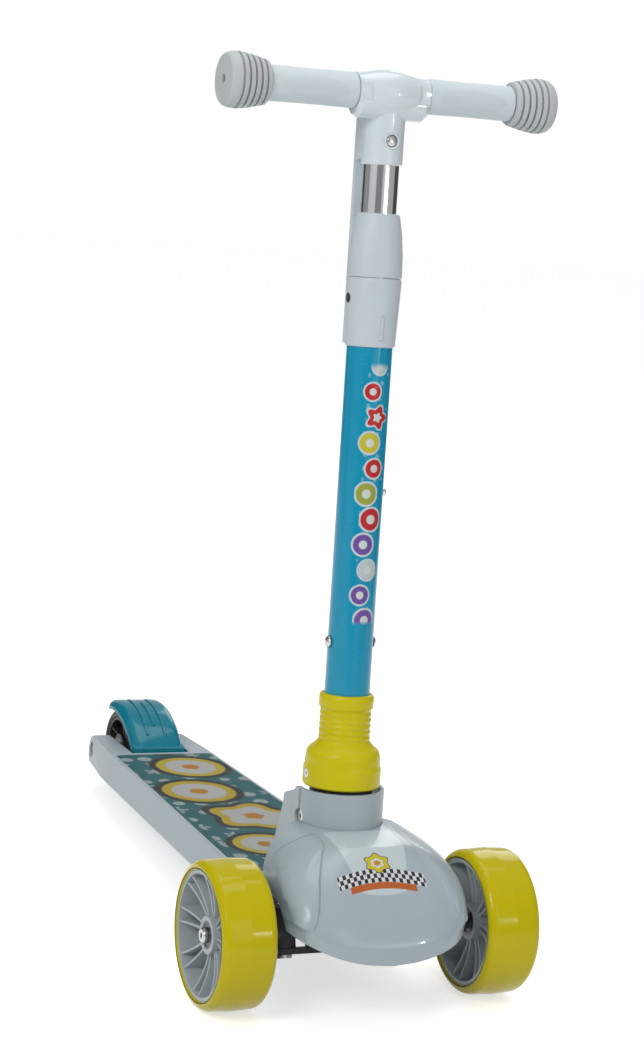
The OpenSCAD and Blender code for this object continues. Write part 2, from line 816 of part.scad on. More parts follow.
// Ball bearing seen as two rings with a recessed seal between them
module bearing() {
    difference() {
        cylinder(r = bearing_r, h = bearing_w);
        translate([0, 0, -1]) cylinder(r = axle_r + fit, h = bearing_w + 2);
        for (z = [-1, bearing_w - 0.6]) translate([0, 0, z]) difference() {
            cylinder(r = 9, h = 1.6);
            translate([0, 0, -1]) cylinder(r = 6.2, h = 4);
        }
    }
}

module bearing_pair(boss_l) {
    for (m = [0, 1]) mirror([0, 0, m]) translate([0, 0, boss_l / 2 - bearing_w]) bearing();
}

module left_bearings() { color("dimgray") front_wheel_frame(1) bearing_pair(front_boss_l); }
module right_bearings() { color("dimgray") front_wheel_frame(-1) bearing_pair(front_boss_l); }

// Sleeve that keeps the two bearings apart
module bearing_sleeve(boss_l) {
    l = boss_l - 2 * bearing_w - 2 * snug;
    color("silver") translate([0, 0, -l / 2]) tube(6.2, 6.2 - axle_r - fit, l);
}

module left_bearing_spacer() { front_wheel_frame(1) bearing_sleeve(front_boss_l); }
module right_bearing_spacer() { front_wheel_frame(-1) bearing_sleeve(front_boss_l); }

module rear_tyre() {
    color("black") rear_wheel_frame() rotate_extrude($fn = 96)
        tyre_section(rear_r, rear_wheel_w, rear_tyre_t, shoulder_r - 2, 0.8);
}

module rear_hub() {
    color("black") rear_wheel_frame()
        ribbed_hub(rear_r - rear_tyre_t - snug, 3, rear_wheel_w / 2 - 1.6, 3, rear_boss_l, 6, 0);
}

module rear_bearings() { color("dimgray") rear_wheel_frame() bearing_pair(rear_boss_l); }
module rear_bearing_spacer() { rear_wheel_frame() bearing_sleeve(rear_boss_l); }

module rear_axle() {
    color("silver") deck_frame() translate([0, rear_axle_dy, rear_axle_dz]) {
        axle(axle_r, 86);
        difference() {
            both_sides(6.6, axle_head_x, axle_head_x + 4);
            both_sides(2, 45, 47);
        }
    }
}

module rear_spacers() {
    color("silver") rear_wheel_frame() for (m = [0, 1]) mirror([0, 0, m])
        translate([0, 0, rear_boss_l / 2 + snug])
            tube(6.5, 6.5 - axle_r - snug, fork_gap / 2 - rear_boss_l / 2 - 2 * snug);
}

// ------------------------------------------------------------------ brake

// Section of the fender: crown, round shoulders and short skirts
module fender_section(grow, half) {
    sh = 9;
    r = fender_r + grow;
    t = fender_t + 2 * grow;
    polygon([
        for (p = concat(
            [[r - sh, -half], [r - sh, -half + t]],
            [for (a = [0:15:90]) [r - sh + (sh - t) * sin(a), -half + sh - (sh - t) * cos(a)]],
            [for (a = [90:-15:0]) [r - sh + (sh - t) * sin(a), half - sh + (sh - t) * cos(a)]],
            [[r - sh, half - t], [r - sh, half]],
            [for (a = [0:15:90]) [r - sh + sh * sin(a), half - sh + sh * cos(a)]],
            [for (a = [90:-15:0]) [r - sh + sh * sin(a), -half + sh - sh * cos(a)]]
        )) p
    ]);
}

module fender_arc(from, to) {
    placed() translate([0, fender_y, fender_z]) rotate([0, 90, 0])
        rotate_extrude(start = 180 - to, angle = to - from, $fn = 128) children();
}

module brake_fender() {
    color("teal") difference() {
        union() {
            fender_arc(-49, 15) fender_section(0, fender_w / 2);
            // tread ribs
            for (x = [-9, 9]) fender_arc(-38, 8) translate([fender_r - 1, x - 1.3]) square([2, 2.6]);
            fender_arc(-30, 0) translate([fender_r - 1, -1.3]) square([2, 2.6]);
            // neck down to the hinge
            difference() {
                deck_frame() translate([0, hinge_dy, hinge_dz]) {
                    axle(hinge_r, fender_w - 1);
                    side_plate(-fender_w / 2 + 0.5, fender_w / 2 - 0.5)
                        polygon([[-hinge_r, 0], [-4.5, 12], [4, 14], [7, 9], [hinge_r - 1, 0]]);
                }
                // clear of the tyre
                rear_wheel_frame() cylinder(r = rear_r + 5, h = 100, center = true);
            }
        }
        deck_frame() translate([0, hinge_dy, hinge_dz]) {
            axle(brake_pin_r + fit, 80);
            // room for the spring
            axle(hinge_r + 2.5, 20);
        }
    }
}

module brake_pin() {
    color("silver") deck_frame() translate([0, hinge_dy, hinge_dz]) axle(brake_pin_r, fork_gap + 11);
}

// Coils round the pin
module brake_spring() {
    coils = 6;
    color("silver") deck_frame() translate([0, hinge_dy, hinge_dz]) rotate([0, 90, 0])
        for (i = [0:coils - 1]) translate([0, 0, (i - (coils - 1) / 2) * 3]) rotate_extrude()
            translate([brake_pin_r + 2, 0]) circle(r = 1.55, $fn = 24);
}

// ------------------------------------------------------------------- stem

// Root of the stem: socket for the tube, spigot inside it and the fold boss
module stem_root() {
    color("dimgray") stem_frame() difference() {
        union() {
            // one revolve: chamfered foot, socket for the tube, hollow spigot inside it
            rotate_extrude() polygon([
                [0, fold_s - root_bottom], [root_r - 4, fold_s - root_bottom],
                [root_r, fold_s - root_bottom + 4],
                [root_r, root_top_s], [lower_tube_r + snug, root_top_s], [lower_tube_r + snug, tube_bottom_s],
                [spigot_r, tube_bottom_s], [spigot_r, tube_bolt_s + 11], [spigot_r - 1, tube_bolt_s + 12],
                [spigot_r - 4, tube_bolt_s + 12], [spigot_r - 4, root_top_s], [0, root_top_s]
            ]);
            translate([0, 0, fold_s]) axle(root_bottom - 1, 2 * cheek_in - 2 * gap);
        }
        translate([0, 0, fold_s]) axle(fold_bolt_r + fit, 90);
        translate([0, 0, tube_bolt_s]) axle(tube_bolt_r + snug, 60);
        translate([0, 0, collar_screw_s]) both_sides(1.6, 20.5, 40);
    }
}

// Bell over the neck, then a waist with soft rings and a rim
module collar_outline() {
    polygon(concat(
        [[root_r + snug, collar_bottom_s], [collar_r - 1, collar_bottom_s], [collar_r, collar_bottom_s + 1.2],
         [collar_r, collar_bottom_s + 15], [collar_r - 0.9, collar_bottom_s + 17],
         [collar_r - 1.4, bell_top_s - 6]],
        [for (a = [0:15:75]) [collar_r - 7.4 + 6 * cos(a), bell_top_s - 6 + 8 * sin(a)]],
        [[waist_r + 1.4, bell_top_s + 5.5], [waist_r, bell_top_s + 8]],
        [for (k = [0:23]) [waist_r + 0.35 * sin(k * 360 * 5 / 24), bell_top_s + 9 + k]],
        [[waist_r + 0.2, collar_top_s - 12.5], [waist_r + 1.4, collar_top_s - 11],
         [waist_r + 1.6, collar_top_s - 3], [waist_r + 0.6, collar_top_s - 0.6],
         [waist_r - 0.6, collar_top_s], [lower_tube_r + snug, collar_top_s],
         [lower_tube_r + snug, root_top_s + snug], [root_r + snug, root_top_s + snug]]
    ));
}

module stem_collar() {
    color("gold") stem_frame() difference() {
        rotate_extrude($fn = 96) collar_outline();
        translate([0, 0, collar_screw_s]) {
            both_sides(2 + snug, 19.5, 40);
            both_sides(4.2, collar_r - 3, 50);
        }
    }
}

module collar_screws() {
    color("silver") stem_frame() translate([0, 0, collar_screw_s]) difference() {
        union() {
            both_sides(1.55, 21.5, collar_r - 2);
            both_sides(4, collar_r - 3 + snug, collar_r - 0.2);
        }
        both_sides(1.2, collar_r - 1.6, collar_r + 2);
    }
}

module lower_tube() {
    color("steelblue") stem_frame() difference() {
        translate([0, 0, tube_bottom_s + snug])
            tube(lower_tube_r, lower_tube_wall, tube_top_s - tube_bottom_s - snug);
        translate([0, 0, tube_bolt_s]) axle(tube_bolt_r + snug, 60);
        translate([0, 0, button_s]) across(button_r + fit, 5, 40);
        translate([0, 0, height_screw_s]) across(2 + snug, -40, -5);
    }
}

// Through bolt with a domed head and a domed nut
module tube_bolt() {
    color("silver") stem_frame() translate([0, 0, tube_bolt_s]) {
        axle(tube_bolt_r, 2 * lower_tube_r + 2);
        for (side = [-1, 1]) translate([side * (lower_tube_r + snug), 0, 0]) rotate([0, side * 90, 0])
            rotate_extrude()
                polygon(concat([[0, 0]], [for (a = [0:15:75]) [5 * cos(a), 0.6 + 2.8 * sin(a)]], [[0, 3.4]]));
    }
}

// Bush in the top of the lower tube that guides the inner tube
module tube_bush() {
    color("dimgray") stem_frame() difference() {
        union() {
            translate([0, 0, tube_top_s - 40]) cylinder(r = tube_inner_r - snug, h = 41);
            translate([0, 0, tube_top_s + snug]) cylinder(r = lower_tube_r, h = bush_flange_t);
        }
        translate([0, 0, tube_top_s - 50]) cylinder(r = inner_tube_r + fit, h = 60);
        translate([0, 0, height_screw_s]) across(2 + snug, -40, -5);
    }
}

// Pad at the back of the collar with the slot for the handle's rail
module rail_pad(from, to) {
    difference() {
        block([-10, 0, from], [10, spine_y - gap, to]);
        rail_shape(from - 1, to + 1, gap);
    }
}

module rail_shape(from, to, g) {
    block([-rail_neck - g, spine_y - 2.2 - g, from], [rail_neck + g, spine_y + 1, to]);
    block([-rail_head - g, spine_y - 4.4 - g, from], [rail_head + g, spine_y - 2.2 + g, to]);
}

module height_collar() {
    color("gainsboro") stem_frame() difference() {
        union() {
            rotate_extrude($fn = 96) polygon([
                [lower_tube_r - 1, height_collar_s + 1], [lower_tube_r + 0.9, height_collar_s],
                [lower_tube_r + 1.7, height_collar_s + 1.2], [lower_tube_r + 3.5, seam_s - 8],
                [lower_tube_r + 3.7, seam_s - 2.4], [lower_tube_r + 2.8, seam_s], [0, seam_s],
                [0, height_collar_s + 1]
            ]);
            rail_pad(height_collar_s + 4, seam_s);
            // moulded rib on the front
            block([-1.2, -lower_tube_r - 3.3, height_collar_s + 6], [1.2, -lower_tube_r, seam_s - 30]);
        }
        translate([0, 0, height_collar_s - 1])
            cylinder(r = lower_tube_r + snug, h = tube_top_s - height_collar_s + bush_flange_t + 1.1);
        cylinder(r = inner_tube_r + gap, h = 1000);
        rail_shape(height_collar_s, seam_s + 1, gap);
        translate([0, 0, height_screw_s]) {
            across(2 + snug, -40, -15);
            across(4.2, -40, -lower_tube_r - 1.3);
        }
    }
}

module height_collar_screw() {
    color("dimgray") stem_frame() translate([0, 0, height_screw_s]) difference() {
        union() {
            across(2, -lower_tube_r - 1.6, -inner_tube_r - 0.9);
            across(4, -lower_tube_r - 3, -lower_tube_r - 1.3 - snug);
        }
        across(1.2, -lower_tube_r - 4, -lower_tube_r - 2);
    }
}

module collar_cap() {
    color("gainsboro") stem_frame() difference() {
        union() {
            rotate_extrude($fn = 96) polygon([
                [0, seam_s + gap], [lower_tube_r + 3.2, seam_s + gap], [lower_tube_r + 3.7, seam_s + 1.2],
                [lower_tube_r + 3.2, seam_s + 18], [lower_tube_r + 1.6, height_top_s - 16],
                [inner_tube_r + 3.6, height_top_s - 4], [inner_tube_r + 2.9, height_top_s - 0.8],
                [inner_tube_r + 1.8, height_top_s], [0, height_top_s]
            ]);
            rail_pad(seam_s + gap, height_top_s - 3);
        }
        cylinder(r = inner_tube_r + gap, h = 1000);
        rail_shape(seam_s - 1, height_top_s + 1, gap);
    }
}

module height_button() {
    color("silver") stem_frame() translate([0, 0, button_s]) rotate([0, 90, 0])
        rotate_extrude() polygon(concat(
            [[0, inner_tube_r + 0.5], [button_r, inner_tube_r + 0.5], [button_r, lower_tube_r + 2.2]],
            [for (a = [15:15:75]) [button_r * cos(a), lower_tube_r + 2.2 + 2 * sin(a)]],
            [[0, lower_tube_r + 4.2]]
        ));
}

// ----------------------------------------------------------------- handle

module inner_tube() {
    color("silver") stem_frame() difference() {
        translate([0, 0, inner_bottom_s]) tube(inner_tube_r, inner_tube_wall, bar_s - 14 - inner_bottom_s);
        for (k = [0:height_steps]) translate([0, 0, button_s - k * hole_pitch]) across(button_r + gap, 5, 40);
        translate([0, 0, handle_screw_s]) rotate([0, 0, -90]) across(2 + snug, 5, 40);
    }
}

module tube_foot() {
    color("dimgray") stem_frame() difference() {
        translate([0, 0, inner_bottom_s - 4]) cylinder(r = tube_inner_r - fit, h = 12.5);
        translate([0, 0, inner_bottom_s - snug]) cylinder(r = inner_tube_r + snug, h = 20);
        translate([0, 0, inner_bottom_s - 5]) cylinder(r = 8, h = 20);
    }
}

module t_handle() {
    color("lightsteelblue") difference() {
        union() {
            // crossbar that carries the grips
            bar_frame(1) translate([0, 0, -bar_l / 2 + 12]) cylinder(r = core_r, h = bar_l - 24);
            // barrel of the hub, fullest in the middle
            bar_frame(1) rotate_extrude($fn = 96) polygon(concat(
                [[0, -hub_half]],
                [for (k = [-8:8]) [arm_r + (hub_r - arm_r) * pow(cos(k / 8 * 90), 1.4), k / 8 * hub_half]],
                [[0, hub_half]]
            ));
            for (side = [-1, 1]) bar_frame(side) {
                cylinder(r = arm_r, h = grip_x0 - gap, $fn = 96);
                // gusset under the arm
                translate([side * gusset_drop, 0, 0]) rotate_extrude() polygon([
                    [0, 0], [gusset_r, 0], [gusset_r, hub_half], [gusset_r - 2.4, grip_x0 - gap],
                    [0, grip_x0 - gap]
                ]);
            }
            // neck on the tube
            stem_frame() rotate_extrude($fn = 96) polygon([
                [0, neck_bottom_s], [handle_neck_r - 0.8, neck_bottom_s],
                [handle_neck_r, neck_bottom_s + 1.2], [handle_neck_r, bar_s - 24],
                [handle_neck_r + 0.9, bar_s - 14], [handle_neck_r - 3, bar_s], [0, bar_s]
            ]);
            // ring round the screw
            stem_frame() translate([0, -handle_neck_r + 1, handle_screw_s]) rotate([90, 0, 0])
                tube(6.5, 1.5, 2);
            // guide at the back, joined to the neck by a web
            stem_frame() {
                block([-spine_half, spine_y, height_collar_s + 1],
                    [spine_half, spine_y + spine_t, spine_top_s]);
                rail_shape(height_collar_s + 1, neck_bottom_s + 6, 0);
                block([-spine_half, 0, neck_bottom_s + 4], [spine_half, spine_y + 1, spine_top_s]);
            }
        }
        stem_frame() {
            translate([0, 0, neck_bottom_s - 1])
                cylinder(r = inner_tube_r + snug, h = bar_s - 13 - neck_bottom_s + snug);
            translate([0, 0, handle_screw_s]) rotate([0, 0, -90]) {
                across(2 + snug, 5, 40);
                across(4.9, handle_neck_r - 1, 40);
            }
        }
        for (side = [-1, 1]) bar_frame(side) translate([0, 0, bar_l / 2 - 30]) cylinder(r = 1.5, h = 40);
        // flats on the front of the arms
        for (side = [-1, 1]) stem_frame()
            translate([side * (hub_half - 1.5), -bar_forward - arm_r + pad_depth, bar_s])
            block([-5, -10, -9], [5, 0, 9]);
    }
}

module handle_screw() {
    color("silver") stem_frame() translate([0, 0, handle_screw_s]) rotate([0, 0, -90]) {
        across(2, inner_tube_r - inner_tube_wall - 2, handle_neck_r - 0.5);
        translate([handle_neck_r - 1 + snug, 0, 0]) rotate([0, 90, 0]) rotate_extrude()
            polygon(concat([[0, 0]], [for (a = [0:15:75]) [4.6 * cos(a), 0.5 + 1.9 * sin(a)]], [[0, 2.4]]));
    }
}

module grip(side) {
    color("lightsteelblue") bar_frame(side)
        rotate_extrude($fn = 96) polygon([
            [core_r + snug, grip_x0], [grip_r - 0.9, grip_x0], [grip_r, grip_x0 + 0.9],
            [grip_r - 0.4, (grip_x0 + knob_x0) / 2], [grip_r, knob_x0 - gap - 0.9],
            [grip_r - 0.9, knob_x0 - gap],
            [core_r + snug, knob_x0 - gap]
        ]);
}

module left_grip() { grip(1); }
module right_grip() { grip(-1); }

// Ribbed end knob: a cone of rings that ends in a flat, round-edged face
module knob(side) {
    color("lightsteelblue") bar_frame(side) difference() {
        rotate_extrude($fn = 96) polygon([
            [0, knob_x0], [knob_r - 5.2, knob_x0], [knob_r - 4.4, knob_x0 + 0.8],
            [knob_r - 1.6, knob_x0 + 13], [knob_r, knob_x0 + 23],
            [knob_r - 0.3, knob_x0 + knob_l - 5.5], [knob_r - 1.4, knob_x0 + knob_l - 1.8],
            [knob_r - 3, knob_x0 + knob_l], [0, knob_x0 + knob_l]
        ]);
        translate([0, 0, knob_x0 - 1]) cylinder(r = core_r + snug, h = knob_l - 11 + 0.2);
        // grooves between the rings
        for (k = [0:4]) translate([0, 0, knob_x0 + 3.6 + k * knob_pitch]) difference() {
            cylinder(r = 30, h = 1.7);
            translate([0, 0, -1]) cylinder(r = knob_r - 5.6 + k * 0.95, h = 4);
        }
        // screw recess in the end face
        translate([0, 0, knob_x0 + knob_l - 4]) cylinder(r = 3.6, h = 6);
        cylinder(r = 1.6, h = 200);
    }
}

module left_knob() { knob(1); }
module right_knob() { knob(-1); }

module knob_screw(side) {
    color("dimgray") bar_frame(side) {
        translate([0, 0, bar_l / 2 - 28]) cylinder(r = 1.45, h = 25);
        difference() {
            translate([0, 0, bar_l / 2 - 4 + snug]) cylinder(r = 3.3, h = 2);
            translate([0, 0, bar_l / 2 - 3]) cylinder(r = 1, h = 3);
        }
    }
}

module left_knob_screw() { knob_screw(1); }
module right_knob_screw() { knob_screw(-1); }

deck_shell();
deck_mat();
front_cover();
neck_housing();
front_bridge();
bridge_screws();
left_kingpin();
right_kingpin();
steering_bushes();
fold_bolt();
latch_pin();
rear_axle();
rear_spacers();
brake_pin();
brake_spring();
stem_root();
stem_collar();
collar_screws();
lower_tube();
tube_bolt();
tube_bush();
height_collar();
collar_cap();
height_collar_screw();
height_button();
inner_tube();
tube_foot();
t_handle();
handle_screw();
left_grip();
right_grip();
left_knob();
right_knob();
left_knob_screw();
right_knob_screw();
fold_latch();
left_knuckle();
right_knuckle();
left_axle_bolt();
right_axle_bolt();
tie_rod();
left_tyre();
right_tyre();
left_hub();
right_hub();
left_bearings();
right_bearings();
left_bearing_spacer();
right_bearing_spacer();
rear_tyre();
rear_hub();
rear_bearings();
rear_bearing_spacer();
brake_fender();
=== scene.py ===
"""Child's three-wheeled kick scooter: finishes, studio and camera."""
import json
import math

import bpy
from mathutils import Matrix, Vector


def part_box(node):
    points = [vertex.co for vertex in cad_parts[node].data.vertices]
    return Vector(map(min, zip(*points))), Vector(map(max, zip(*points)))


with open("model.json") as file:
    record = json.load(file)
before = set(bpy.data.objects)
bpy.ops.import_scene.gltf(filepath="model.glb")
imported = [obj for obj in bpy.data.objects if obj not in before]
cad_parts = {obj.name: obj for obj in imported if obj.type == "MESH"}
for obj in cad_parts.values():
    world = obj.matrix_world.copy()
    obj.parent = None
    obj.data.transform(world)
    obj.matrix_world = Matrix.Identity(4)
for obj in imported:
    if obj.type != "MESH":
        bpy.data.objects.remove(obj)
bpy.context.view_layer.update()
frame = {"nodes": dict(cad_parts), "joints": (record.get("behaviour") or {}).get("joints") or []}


nodes = frame["nodes"]
joints = {j["name"]: j for j in frame["joints"]}

# ----------------------------------------------------------------- places
FOLD = Vector(joints["fold"]["pos_m"])
STEM = Vector(joints["height"]["axis"]).normalized()
STEM_BACK = STEM.cross(Vector((1, 0, 0)))
TUBE_R = (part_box("lower_tube")[1].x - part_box("lower_tube")[0].x) / 2
MAT_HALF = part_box("deck_mat")[1].x
WHEEL_Y = joints["left_spin"]["pos_m"][1]
GRIP_LOW, GRIP_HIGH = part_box("right_grip")
GRIP_MIDDLE = abs(GRIP_LOW.x + GRIP_HIGH.x) / 2
GRIP_LENGTH = GRIP_HIGH.x - GRIP_LOW.x
BAR_Z = (GRIP_LOW.z + GRIP_HIGH.z) / 2


# ------------------------------------------------------------ node helpers
class Tree:
    """Adds nodes to one node tree and links them in the same call."""

    def __init__(self, tree):
        self.tree = tree

    def put(self, value, socket):
        if isinstance(value, bpy.types.NodeSocket):
            self.tree.links.new(value, socket)
        elif value is not None:
            socket.default_value = value

    def node(self, kind, inputs=None, **settings):
        """Adds a node; settings are its own properties and go first, then its inputs."""
        made = self.tree.nodes.new(kind)
        for name, value in settings.items():
            setattr(made, name, value)
        for name, value in (inputs or {}).items():
            self.put(value, made.inputs[name])
        return made

    def calc(self, operation, a, b=None, c=None, clamp=False):
        made = self.node("ShaderNodeMath", operation=operation, use_clamp=clamp)
        for value, socket in zip((a, b, c), made.inputs):
            self.put(value, socket)
        return made.outputs[0]

    def vector(self, operation, a, b=None):
        made = self.node("ShaderNodeVectorMath", operation=operation)
        self.put(a, made.inputs[0])
        self.put(b, made.inputs[1])
        return made.outputs["Value" if operation in ("DOT_PRODUCT", "LENGTH") else "Vector"]

    def scaled(self, vector, factor):
        made = self.node("ShaderNodeVectorMath", operation="SCALE")
        self.put(vector, made.inputs[0])
        self.put(factor, made.inputs["Scale"])
        return made.outputs["Vector"]

    def mix(self, factor, a, b):
        made = self.node("ShaderNodeMix", data_type="RGBA")
        self.put(factor, made.inputs["Factor"])
        self.put(a, made.inputs["A"])
        self.put(b, made.inputs["B"])
        return made.outputs["Result"]

    def step(self, value, low, high):
        """0 below low, 1 above high, smooth between; low above high turns it round."""
        made = self.node("ShaderNodeMapRange", interpolation_type="SMOOTHSTEP")
        for name, v in (("Value", value), ("From Min", low), ("From Max", high)):
            self.put(v, made.inputs[name])
        return made.outputs["Result"]

    def palette(self, value, colours):
        """One of the colours, picked by a value from 0 to 1."""
        made = self.node("ShaderNodeValToRGB", {"Fac": value})
        ramp = made.color_ramp
        ramp.interpolation = "CONSTANT"
        for i, colour in enumerate(colours):
            place = i / len(colours)
            spot = ramp.elements[i] if i < 2 else ramp.elements.new(place)
            spot.position = place
            spot.color = (*colour, 1)
        return made.outputs["Color"]

    def layered(self, colour, layers, within):
        """Colours printed over each other by their masks, inside the area within."""
        for mask, ink in layers:
            colour = self.mix(self.both(mask, within), colour, ink)
        return colour

    def place(self):
        return self.node("ShaderNodeTexCoord").outputs["Object"]

    def noise(self, place, scale, detail):
        made = self.node("ShaderNodeTexNoise", {"Vector": place, "Scale": scale, "Detail": detail})
        return made.outputs["Fac"]

    def group(self, source, **inputs):
        """Places a shader group; the keywords are its inputs' names."""
        return self.node("ShaderNodeGroup", inputs, node_tree=source)

    def both(self, a, b):
        """Where both masks are 1."""
        return self.calc("MULTIPLY", a, b)


def new_group(name, inputs, outputs):
    """A shader group with named sockets; returns its Tree, its inputs and its output node."""
    group = bpy.data.node_groups.new(name, "ShaderNodeTree")
    for label, kind, value in inputs:
        socket = group.interface.new_socket(label, in_out="INPUT", socket_type="NodeSocket" + kind)
        if value is not None:
            socket.default_value = value
    for label, kind in outputs:
        group.interface.new_socket(label, in_out="OUTPUT", socket_type="NodeSocket" + kind)
    tree = Tree(group)
    return tree, tree.node("NodeGroupInput").outputs, tree.node("NodeGroupOutput").inputs


def rgb(r, g, b):
    return (r, g, b, 1.0)


# ---------------------------------------------------------- surface effects
def moulded_surface():
    """Slow shade changes, fine grain and faint scuffs of a moulded or painted part."""
    t, i, o = new_group(
        "Moulded surface",
        [("Colour", "Color", rgb(0.5, 0.5, 0.5)), ("Shade", "Float", 0.06),
         ("Grain size", "Float", 0.0008), ("Roughness", "Float", 0.4), ("Scuffs", "Float", 0.1)],
        [("Colour", "Color"), ("Roughness", "Float"), ("Height", "Float")],
    )
    place = t.place()
    slow = t.noise(place, 22.0, 3.0)
    grain = t.noise(place, t.calc("DIVIDE", 1.0, i["Grain size"]), 2.0)
    stretched = t.node("ShaderNodeMapping", {
        "Vector": place, "Scale": (90.0, 160.0, 900.0), "Rotation": (0.4, 0.2, 0.9)}).outputs["Vector"]
    scratch = t.noise(stretched, 1.0, 3.0)
    scuff = t.calc("MULTIPLY", t.step(scratch, 0.60, 0.74), i["Scuffs"])
    swing = t.calc("SUBTRACT", slow, 0.5)
    level = t.calc("MULTIPLY_ADD", t.calc("MULTIPLY", swing, i["Shade"]), 2.0, 1.0)
    shaded = t.scaled(i["Colour"], level)
    t.put(t.mix(t.calc("MULTIPLY", scuff, 0.5), shaded, rgb(0.75, 0.76, 0.76)), o["Colour"])
    rough = t.calc("MULTIPLY_ADD", swing, 0.16, i["Roughness"])
    t.put(t.calc("MULTIPLY_ADD", scuff, 0.35, rough, clamp=True), o["Roughness"])
    t.put(grain, o["Height"])
    return t.tree


def dot_weave():
    """Regular raised dots of a standing mat, from X and Y in metres."""
    t, i, o = new_group("Dot weave", [("Pitch", "Float", 0.0022)], [("Dots", "Float")])
    flat = t.node("ShaderNodeTexVoronoi", {
        "Vector": t.place(), "Scale": t.calc("DIVIDE", 1.0, i["Pitch"]), "Randomness": 0.0},
        voronoi_dimensions="2D")
    t.put(t.step(flat.outputs["Distance"], 0.42, 0.22), o["Dots"])
    return t.tree


def scattered_shapes():
    """Loose rings, discs and flowers of a cheerful print, one to a cell."""
    t, i, o = new_group(
        "Scattered shapes",
        [("Place", "Vector", None), ("Cell", "Float", 0.02), ("Size", "Float", 0.34),
         ("Petals", "Float", 0.2), ("Scatter", "Float", 0.55), ("Eye", "Float", 0.43)],
        [("Body", "Float"), ("Outline", "Float"), ("Centre", "Float"), ("Pick", "Float")],
    )
    cells = t.node("ShaderNodeTexVoronoi", {
        "Vector": i["Place"], "Scale": t.calc("DIVIDE", 1.0, i["Cell"]), "Randomness": i["Scatter"]},
        voronoi_dimensions="2D")
    away = t.node("ShaderNodeSeparateXYZ", {
        "Vector": t.vector("SUBTRACT", i["Place"], cells.outputs["Position"])})
    chance = t.node("ShaderNodeSeparateColor", {"Color": cells.outputs["Color"]})
    turn = t.calc("ARCTAN2", away.outputs["Y"], away.outputs["X"])
    flower = t.calc("GREATER_THAN", chance.outputs["Green"], 0.5)
    wave = t.calc("MULTIPLY", t.calc("COSINE", t.calc("MULTIPLY", turn, 5.0)),
                  t.calc("MULTIPLY", flower, i["Petals"]))
    varied = t.calc("MULTIPLY_ADD", chance.outputs["Blue"], 0.35, 0.75)
    size = t.calc("MULTIPLY", i["Size"], t.calc("ADD", wave, varied))
    # 1 on the outline of a shape, 0 in its middle
    reach = t.calc("DIVIDE", cells.outputs["Distance"], size)
    t.put(t.step(reach, 1.03, 0.97), o["Body"])
    t.put(t.calc("MULTIPLY", t.step(reach, 1.24, 1.18), t.step(reach, 0.97, 1.03)), o["Outline"])
    eye_in, eye_out = (t.calc(way, i["Eye"], 0.03) for way in ("SUBTRACT", "ADD"))
    t.put(t.step(reach, eye_out, eye_in), o["Centre"])
    t.put(chance.outputs["Red"], o["Pick"])
    return t.tree


def single_column():
    """Cells of a print in one column, set in turn to the left and to the right."""
    t, i, o = new_group(
        "Single column",
        [("Across", "Float", 0.0), ("Along", "Float", 0.0), ("Pitch", "Float", 0.02),
         ("Swing", "Float", 0.005)],
        [("Place", "Vector"), ("Mask", "Float")],
    )
    row = t.calc("FLOOR", t.calc("ADD", t.calc("DIVIDE", i["Along"], i["Pitch"]), 0.5))
    turn = t.calc("SUBTRACT", t.calc("FLOORED_MODULO", row, 2.0), 0.5)
    across = t.calc("ADD", i["Across"], t.calc("MULTIPLY", turn, i["Swing"]))
    t.put(t.node("ShaderNodeCombineXYZ", {"X": across, "Y": i["Along"]}).outputs["Vector"], o["Place"])
    half = t.calc("DIVIDE", i["Pitch"], 2.0)
    t.put(t.step(t.calc("ABSOLUTE", across), half, t.calc("SUBTRACT", half, 0.0005)), o["Mask"])
    return t.tree


EDGE_ROUNDING = 0.0009
SURFACE = moulded_surface()
WEAVE = dot_weave()
SHAPES = scattered_shapes()
COLUMN = single_column()


# --------------------------------------------------------------- materials
def new_material(name):
    material = bpy.data.materials.new(name)
    material.use_nodes = True
    return material, Tree(material.node_tree), material.node_tree.nodes["Principled BSDF"]


def surfaced(name, colour, roughness, shade=0.05, scuffs=0.05, grain=0.0009, bump=0.15, coat=0.0,
             metal=0.0, shine=0.35):
    """A material that takes all its detail from the moulded surface group; returns the material, its
    Tree, the group's node and the bump node."""
    material, t, shader = new_material(name)
    surface = t.node("ShaderNodeGroup", node_tree=SURFACE)
    for label, value in (("Colour", colour), ("Shade", shade), ("Grain size", grain),
                         ("Roughness", roughness), ("Scuffs", scuffs)):
        t.put(value, surface.inputs[label])
    t.put(surface.outputs["Colour"], shader.inputs["Base Color"])
    t.put(surface.outputs["Roughness"], shader.inputs["Roughness"])
    rounded = t.node("ShaderNodeBevel", {"Radius": EDGE_ROUNDING}, samples=6)
    bumped = t.node("ShaderNodeBump", {
        "Strength": bump, "Distance": 0.0003, "Height": surface.outputs["Height"],
        "Normal": rounded.outputs["Normal"]})
    t.put(bumped.outputs["Normal"], shader.inputs["Normal"])
    shader.inputs["Metallic"].default_value = metal
    shader.inputs["Coat Weight"].default_value = coat
    shader.inputs["Coat Roughness"].default_value = 0.06
    shader.inputs["Specular IOR Level"].default_value = shine
    return material, t, surface, bumped


